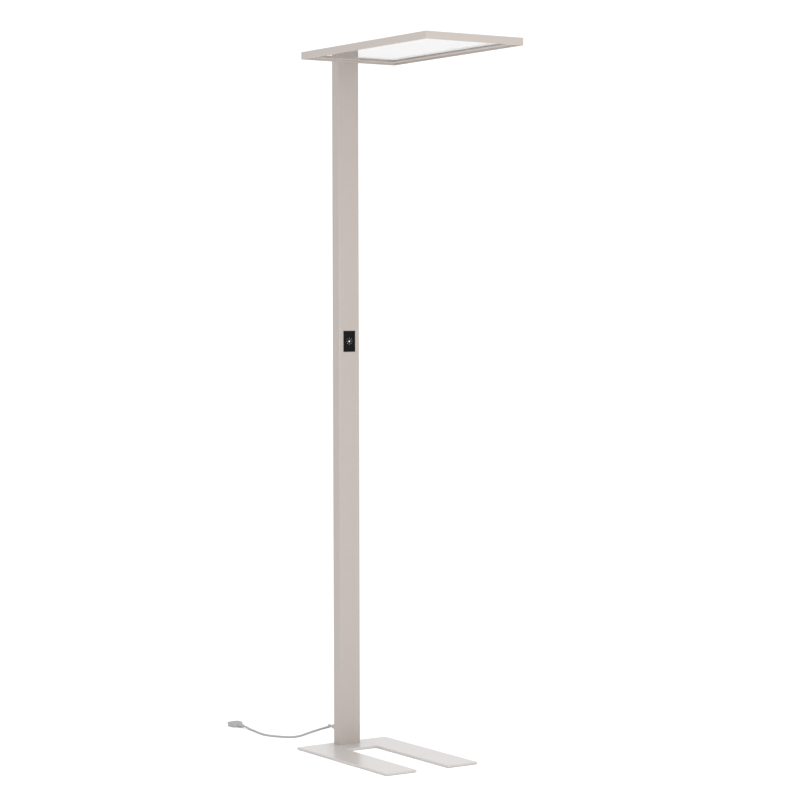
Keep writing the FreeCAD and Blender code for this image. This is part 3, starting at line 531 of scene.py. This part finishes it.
def dome_nut_outline():
    """The nut's straight wall, its dome, and the bore for the cord."""
    wall = (DOME_NUT_CHAMFER_LENGTH, FLUTE_FROM - FLUTE_RUNOUT, FLUTE_FROM, FLUTE_MIDDLE, FLUTE_TO,
            FLUTE_TO + FLUTE_RUNOUT, DOME_START)
    outline = [(0.0, DOME_NUT_START_RADIUS)] + [(distance, DOME_NUT_RADIUS) for distance in wall]
    for step in range(1, DOME_STEPS + 1):
        angle = math.radians(90) * step / DOME_STEPS
        distance = DOME_START + (DOME_NUT_LENGTH - DOME_START) * math.sin(angle)
        radius = DOME_NUT_TIP_RADIUS + (DOME_NUT_RADIUS - DOME_NUT_TIP_RADIUS) * math.cos(angle)
        outline.append((distance, radius))
    return outline + [(DOME_NUT_LENGTH, CORD_BORE), (0.0, CORD_BORE)]


def press_flutes(shape, start):
    """Draw the wall in at each flute."""
    for corner in shape.verts:
        distance = (corner.co.y - start.y) / MM
        across = Vector((corner.co.x, 0, corner.co.z - GLAND_HEIGHT))
        on_flutes = FLUTE_FROM - FLUTE_RUNOUT / 2 < distance < FLUTE_TO + FLUTE_RUNOUT / 2
        if on_flutes and across.length > DOME_NUT_TIP_RADIUS * MM:
            wave = max(0.0, math.cos(FLUTE_COUNT * math.atan2(across.z, across.x)))
            corner.co -= across.normalized() * (FLUTE_DEPTH * wave * MM)


def fluted_dome_nut(material):
    """The gland's closing nut: finger flutes, then a dome down to the strain relief."""
    shape = bmesh.new()
    low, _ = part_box("gland_dome_nut")
    start = Vector((0.0, low[1], GLAND_HEIGHT))
    turned(shape, dome_nut_outline(), start, BACKWARD, FLUTE_COUNT * FLUTE_SIDES, hollow=True)
    press_flutes(shape, start)
    piece = soften(mesh_piece("fluted_dome_nut", shape, material))
    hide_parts("gland_dome_nut")


def plug_place():
    """The plug's own frame: X across, Y along its pins, Z up, with its origin where the cord ends."""
    along = (PLUG_REAR - PLUG_START).normalized()
    across = Vector((along.y, -along.x, 0))
    turn = Matrix((across, along, UPWARD)).transposed().to_4x4()
    return Matrix.Translation(PLUG_REAR) @ turn


def bevelled(shape, edges, offset, segments):
    """Round off edges by an offset in millimetres."""
    bmesh.ops.bevel(shape, geom=edges, offset=offset * MM, offset_type="OFFSET", segments=segments,
                    profile=0.5, affect="EDGES", material=-1)


def plug_block(shape, neck, front):
    """The plug's flat body, narrower at its neck, with rounded edges."""
    outline = [(PLUG_NECK_WIDTH / 2, BOOT_LENGTH), (PLUG_WIDTH / 2, neck), (PLUG_WIDTH / 2, front),
               (-PLUG_WIDTH / 2, front), (-PLUG_WIDTH / 2, neck), (-PLUG_NECK_WIDTH / 2, BOOT_LENGTH)]
    corners = [shape.verts.new(Vector((x, y, -PLUG_THICKNESS / 2)) * MM) for x, y in outline]
    underside = shape.faces.new(corners)
    raised = bmesh.ops.extrude_face_region(shape, geom=[underside])["geom"]
    bmesh.ops.translate(shape, vec=(0, 0, PLUG_THICKNESS * MM),
                        verts=[item for item in raised if isinstance(item, bmesh.types.BMVert)])
    bmesh.ops.recalc_face_normals(shape, faces=shape.faces)
    bevelled(shape, list(shape.edges), PLUG_EDGE, segments=5)


def grip_bar(shape, y, z):
    """A small block with softened edges across the plug."""
    made = bmesh.ops.create_cube(shape, size=1.0)["verts"]
    bmesh.ops.scale(shape, vec=Vector(GRIP_BAR_SIZE) * MM, verts=made)
    bmesh.ops.translate(shape, vec=Vector((0, y, z)) * MM, verts=made)
    edges = list({line for corner in made for line in corner.link_edges})
    bevelled(shape, edges, GRIP_BAR_EDGE, segments=2)


def grip_panels(shape, neck):
    """A sunk panel with cross bars on each flat side."""
    flats = [face for face in shape.faces
             if abs(face.normal.z) > LEVEL_NORMAL and face.calc_area() > GRIP_PANEL_LEAST_AREA * MM * MM]
    bmesh.ops.inset_individual(shape, faces=flats, thickness=GRIP_PANEL_MARGIN * MM, depth=0.0)
    bmesh.ops.inset_individual(shape, faces=flats, thickness=GRIP_PANEL_SLOPE * MM,
                               depth=-GRIP_PANEL_DEPTH * MM)
    for side in (-1, 1):
        for index in range(GRIP_BARS):
            grip_bar(shape, neck + GRIP_BAR_FROM_NECK + GRIP_BAR_PITCH * index,
                     side * (PLUG_THICKNESS / 2 - GRIP_BAR_UNDER_FACE))


def moulded_plug(material):
    """The two-pin plug: a flat moulded body with a grip panel on each face and a ribbed boot."""
    shape = bmesh.new()
    neck = BOOT_LENGTH + PLUG_NECK_LENGTH
    plug_block(shape, neck, BOOT_LENGTH + PLUG_LENGTH)
    grip_panels(shape, neck)
    boot = ribs(BOOT_LENGTH, BOOT_START_RADIUS, BOOT_END_RADIUS, BOOT_RIBS, BOOT_FIRST_RIB, BOOT_RIB_DEPTH)
    turned(shape, [(0.0, 0.0)] + boot + [(BOOT_LENGTH, 0.0)], Vector((0, 0, 0)), BACKWARD)
    bmesh.ops.transform(shape, matrix=plug_place(), verts=shape.verts)
    piece = soften(mesh_piece("moulded_plug", shape, material))
    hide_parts("plug_body")
    return piece


def turned_pair(outline, hollow):
    """The same turned shape on both of the plug's pins."""
    shape = bmesh.new()
    for side in (-1, 1):
        turned(shape, outline, Vector((side * PIN_SPACING / 2 * MM, 0, 0)), BACKWARD, PIN_SIDES, hollow)
    bmesh.ops.transform(shape, matrix=plug_place(), verts=shape.verts)
    return shape


def round_pins(material):
    """Two solid pins with rounded tips, drawn in a little where the sleeves sit."""
    front = BOOT_LENGTH + PLUG_LENGTH
    root = front - PIN_LENGTH / 2
    tip = front + PIN_LENGTH
    sleeve_end = front + SLEEVE_LENGTH
    outline = [(root, 0.0), (root, SLEEVE_SEAT_RADIUS), (sleeve_end, SLEEVE_SEAT_RADIUS),
               (sleeve_end + PIN_STEP, PIN_RADIUS)]
    outline += [(tip - back, PIN_RADIUS * share) for back, share in PIN_TIP]
    outline.append((tip, 0.0))
    piece = soften(mesh_piece("round_pins", turned_pair(outline, hollow=False), material))
    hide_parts("plug_pins")
    return piece


def pin_sleeves(material):
    """The insulating sleeves on the pins' roots."""
    start = BOOT_LENGTH + PLUG_LENGTH - SLEEVE_IN_PLUG
    end = BOOT_LENGTH + PLUG_LENGTH + SLEEVE_LENGTH
    outline = [(start, SLEEVE_SEAT_RADIUS), (start, PIN_RADIUS), (end - SLEEVE_CHAMFER_LENGTH, PIN_RADIUS),
               (end, PIN_RADIUS - SLEEVE_CHAMFER_DEPTH), (end, SLEEVE_SEAT_RADIUS)]
    piece = soften(mesh_piece("pin_sleeves", turned_pair(outline, hollow=True), material))
    return piece


def press_hexagon(shape, heads, underside, socket, depth):
    """Draw each round socket's wall in to six flat sides."""
    for corner in shape.verts:
        x, y = min(heads, key=lambda place: math.dist(place, corner.co.xy))
        away = Vector((corner.co.x - x, corner.co.y - y, 0))
        on_wall = abs(away.length / MM - socket) < SOCKET_TOLERANCE
        if on_wall and (corner.co.z - underside) / MM < depth + SOCKET_TOLERANCE:
            turn = math.atan2(away.y, away.x) % SIXTH_TURN - SIXTH_TURN / 2
            away *= math.cos(SIXTH_TURN / 2) / math.cos(turn)
            corner.co = Vector((x + away.x, y + away.y, corner.co.z))


def socket_screws(name, node, heads, material, head_radius, head_height, shank_radius, flats, depth):
    """Countersunk screws, heads down, each with a hexagon socket in its head."""
    shape = bmesh.new()
    low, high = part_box(node)
    length = (high[2] - low[2]) / MM
    socket = flats / math.sqrt(3.0)
    outline = [(depth, 0.0), (depth, socket), (SOCKET_CHAMFER, socket), (0.0, socket + SOCKET_CHAMFER),
               (0.0, head_radius - HEAD_EDGE), (HEAD_EDGE, head_radius), (head_height, shank_radius),
               (length - SCREW_TIP_LENGTH, shank_radius), (length, shank_radius - SCREW_TIP_DEPTH),
               (length, 0.0)]
    for x, y in heads:
        turned(shape, outline, Vector((x, y, low[2])), UPWARD)
    press_hexagon(shape, heads, low[2], socket, depth)
    piece = soften(mesh_piece(name, shape, material))
    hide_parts(node)


def base_fixings(material):
    """Four screws up into the column's corner ports, and one into the tray's nut."""
    _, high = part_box("base_screws")
    x = high[0] - BASE_SCREW_HEAD_RADIUS * MM
    y = high[1] - BASE_SCREW_HEAD_RADIUS * MM
    heads = [(side_x * x, side_y * y) for side_x in (-1, 1) for side_y in (-1, 1)]
    socket_screws("column_base_screws", "base_screws", heads, material, BASE_SCREW_HEAD_RADIUS,
                  head_height=2.8, shank_radius=2.5, flats=3.0, depth=1.9)
    low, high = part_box("tray_screw")
    middle = ((low[0] + high[0]) / 2, (low[1] + high[1]) / 2)
    socket_screws("tray_base_screw", "tray_screw", [middle], material, head_radius=4.0, head_height=2.2,
                  shank_radius=2.0, flats=2.5, depth=1.5)


def coil_angle(turn):
    """The direction from the coil's middle after a number of turns."""
    return COIL_ENTRY + 2 * math.pi * turn


def coil_points():
    """The coil's turns: in and out at a steady rate, one layer lower in each half turn that reverses.
    A point stands out from its turn by what the spline cuts off inside it."""
    layer_turns = COIL_TURNS / COIL_LAYERS
    outward = 1 / math.cos(math.pi / COIL_POINTS_PER_TURN)
    points = []
    for step in range(int(COIL_TURNS * COIL_POINTS_PER_TURN) + 1):
        turn = step / COIL_POINTS_PER_TURN
        layer = min(int(turn / layer_turns), COIL_LAYERS - 1)
        within = turn - layer * layer_turns
        inward = within if layer % 2 == 0 else layer_turns - within
        radius = (COIL_OUTER_RADIUS - COIL_PITCH * inward) * outward
        height = COIL_TOP
        for change in range(1, COIL_LAYERS):
            share = min(max((turn - change * layer_turns) / LAYER_CHANGE_TURNS + 0.5, 0.0), 1.0)
            height -= COIL_PITCH * share * share * (3 - 2 * share)
        angle = coil_angle(turn)
        points.append(COIL_CENTRE + Vector((radius * math.cos(angle), radius * math.sin(angle), height)))
    return points


def coil_tangent(turn):
    """The cord's direction along the coil after a number of turns."""
    angle = coil_angle(turn)
    return Vector((-math.sin(angle), math.cos(angle), 0))


def coil_end(turn, height):
    """The coil's first or last point, on its outer radius."""
    angle = coil_angle(turn)
    around = Vector((math.cos(angle), math.sin(angle), 0))
    return COIL_CENTRE + around * COIL_OUTER_RADIUS + Vector((0, 0, height))


def cord_route():
    """From the strain relief down onto the coil, round it, and along the floor to the plug."""
    entry = coil_tangent(0)
    leave = coil_tangent(COIL_TURNS)
    coil_start = coil_end(0, COIL_TOP) - entry * COIL_STRAIGHT
    coil_finish = coil_end(COIL_TURNS, FLOOR_REST) + leave * COIL_STRAIGHT
    floor = FLOOR_REST
    lead = [RELIEF_END, Vector((0.0, 0.0985, GLAND_HEIGHT)), Vector((0.0115, 0.1175, 0.041)),
            Vector((0.034, 0.138, 0.032)), Vector((0.062, 0.160, 0.017)), Vector((0.094, 0.181, floor)),
            Vector((0.122, 0.201, floor)), coil_start - entry * COIL_RUN_IN, coil_start]
    run = [coil_finish, coil_finish + leave * COIL_RUN_OUT, Vector((0.082, 0.262, floor)),
           Vector((0.036, 0.2375, floor)), Vector((-0.003, 0.2145, floor)), Vector((-0.040, 0.190, floor)),
           Vector((-0.0725, 0.1895, floor)), Vector((-0.0925, 0.2165, floor)),
           Vector((-0.108, 0.242, floor)), Vector((-0.1145, 0.273, floor)), Vector((-0.110, 0.314, floor)),
           Vector((-0.1043, 0.350, floor)), Vector((-0.1032, 0.372, floor)), PLUG_START, PLUG_REAR]
    return lead + coil_points() + run


def mains_cord(material, pieces):
    """The whole free cord as one smooth spline. The pieces argument is not used."""
    curve = bpy.data.curves.new("mains_cord", "CURVE")
    curve.dimensions = "3D"
    curve.bevel_depth = CORD_DIAMETER / 2
    curve.bevel_resolution = 5
    curve.resolution_u = 6
    spline = curve.splines.new("NURBS")
    route = cord_route()
    spline.points.add(len(route) - 1)
    for handle, place in zip(spline.points, route):
        handle.co = (*place, 1)
    spline.order_u = 3
    spline.use_endpoint_u = True
    curve.materials.append(material)
    cord = bpy.data.objects.new("mains_cord", curve)
    bpy.context.collection.objects.link(cord)
    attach(cord, LAMP)
    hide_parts("cord_lead", "cord_coil", "cord_run")


def soft_light(name, place, target, size, watts):
    """A square light panel that faces a point."""
    data = bpy.data.lights.new(name, "AREA")
    data.shape = "SQUARE"
    data.size = size
    data.energy = watts
    light = bpy.data.objects.new(name, data)
    light.location = place
    light.rotation_euler = (Vector(target) - Vector(place)).to_track_quat("-Z", "Y").to_euler()
    bpy.context.collection.objects.link(light)


def studio():
    """A wide pale floor, white surroundings and two soft light panels."""
    shape = bmesh.new()
    bmesh.ops.create_grid(shape, x_segments=1, y_segments=1, size=FLOOR_HALF_WIDTH)
    floor = mesh_piece("studio_floor", shape, studio_floor_paint("studio_floor"), body=None)
    world = bpy.data.worlds.new("studio")
    world.use_nodes = True
    background = world.node_tree.nodes["Background"]
    background.inputs["Color"].default_value = (1, 1, 1, 1)
    background.inputs["Strength"].default_value = STUDIO_BRIGHTNESS
    bpy.context.scene.world = world
    bpy.context.scene.view_settings.view_transform = "Standard"
    soft_light("overhead", place=(0.3, -0.6, 4.6), target=(0, -0.2, 0), size=4.0, watts=44)
    soft_light("front_left", place=(-1.5, -2.9, 1.1), target=(0, 0, 1.7), size=1.4, watts=52)


def dress_outside():
    """The finishes of the pieces that show."""
    dress(powder_coat("column_powder_coat", COLUMN_GREY), "column_tube")
    # The head rails get the lighter copy of the column's paint: painted light
    dress(powder_coat("head_powder_coat_painted_light", HEAD_GREY_PAINTED_LIGHT), "left_rail", "right_rail", "front_rail", "rear_rail")
    # The base plate gets the lighter copy of the column's paint: painted light
    dress(powder_coat("base_powder_coat_painted_light", BASE_GREY_PAINTED_LIGHT, roughness=0.32, coat_roughness=0.30), "base_plate")
    dress(satin_plastic("cap_plastic", COLUMN_GREY, roughness=0.5), "column_top_cap")
    dress(clear_acrylic("light_guide_acrylic"), "light_guide")
    dress(satin_plastic("control_bezel_plastic", PANEL_BLACK, roughness=0.38, gloss=0.1), "control_bezel")
    dress(panel_gloss("control_key_panel"), "control_key")
    dress(satin_plastic("sun_symbol_white", SYMBOL_WHITE, roughness=0.4, grain=0.3, depth=0.005),
          "sun_symbol")


def dress_inside():
    """The finishes of the electric, inner and lower pieces."""
    dress(light_strip("light_strip_board"), "led_strip_left", "led_strip_right")
    dress(satin_plastic("switch_plastic", SWITCH_BLACK, roughness=0.45), "switch_plunger", "key_switch")
    dress(circuit_board("control_board_coating"), "control_board")
    dress(satin_plastic("housing_plastic", WHITE_PLASTIC, roughness=0.45), "led_driver", "terminal_block",
          "board_connectors")
    dress(satin_plastic("lead_sheath", WHITE_PLASTIC, roughness=0.5, grain=0.8, depth=0.03),
          "strip_leads", "driver_lead", "column_lead", "head_lead")
    dress(rubber("black_rubber", RUBBER_BLACK), "floor_pad", "head_grommet", "gland_seal")
    dress(metal("rolled_tray_steel", ZINC, roughness=0.34, stretch=ROLLED_UPRIGHT, grain=0.8), "driver_tray")
    dress(metal("cleat_aluminium", PLAIN_ALUMINIUM, roughness=0.42), "corner_cleats")


def shared_finishes():
    """The finishes that CAD nodes share with pieces modelled here: cord sheath, gland plastic and zinc."""
    sheath = cord_sheath("cord_sheath", CORD_GREY)
    dress(sheath, "mains_tail")
    gland = satin_plastic("gland_plastic", GLAND_GREY, roughness=0.45, grain=0.7, depth=0.03)
    dress(gland, "gland_body", "gland_lock_nut")
    zinc = metal("zinc_plate", ZINC, roughness=0.38)
    dress(zinc, "tray_nut", "head_screws", "board_screws", "driver_screws", "head_nut_plate", "head_bracket")
    return sheath, gland, zinc


def plug_pieces():
    """The plug's body, its pins and their sleeves."""
    body = satin_plastic("plug_plastic", CORD_GREY, roughness=0.48, grain=0.6, depth=0.03)
    pins = metal("pin_nickel", NICKEL, roughness=0.18)
    sleeves = satin_plastic("sleeve_plastic", scaled(CORD_GREY, 0.35), roughness=0.45)
    return [moulded_plug(body), round_pins(pins), pin_sleeves(sleeves)]


place_camera()
dress_outside()
dress_inside()
sheath_finish, gland_finish, zinc_finish = shared_finishes()
mains_cord(sheath_finish, plug_pieces())
ribbed_strain_relief(gland_finish)
fluted_dome_nut(gland_finish)
base_fixings(zinc_finish)
studio()
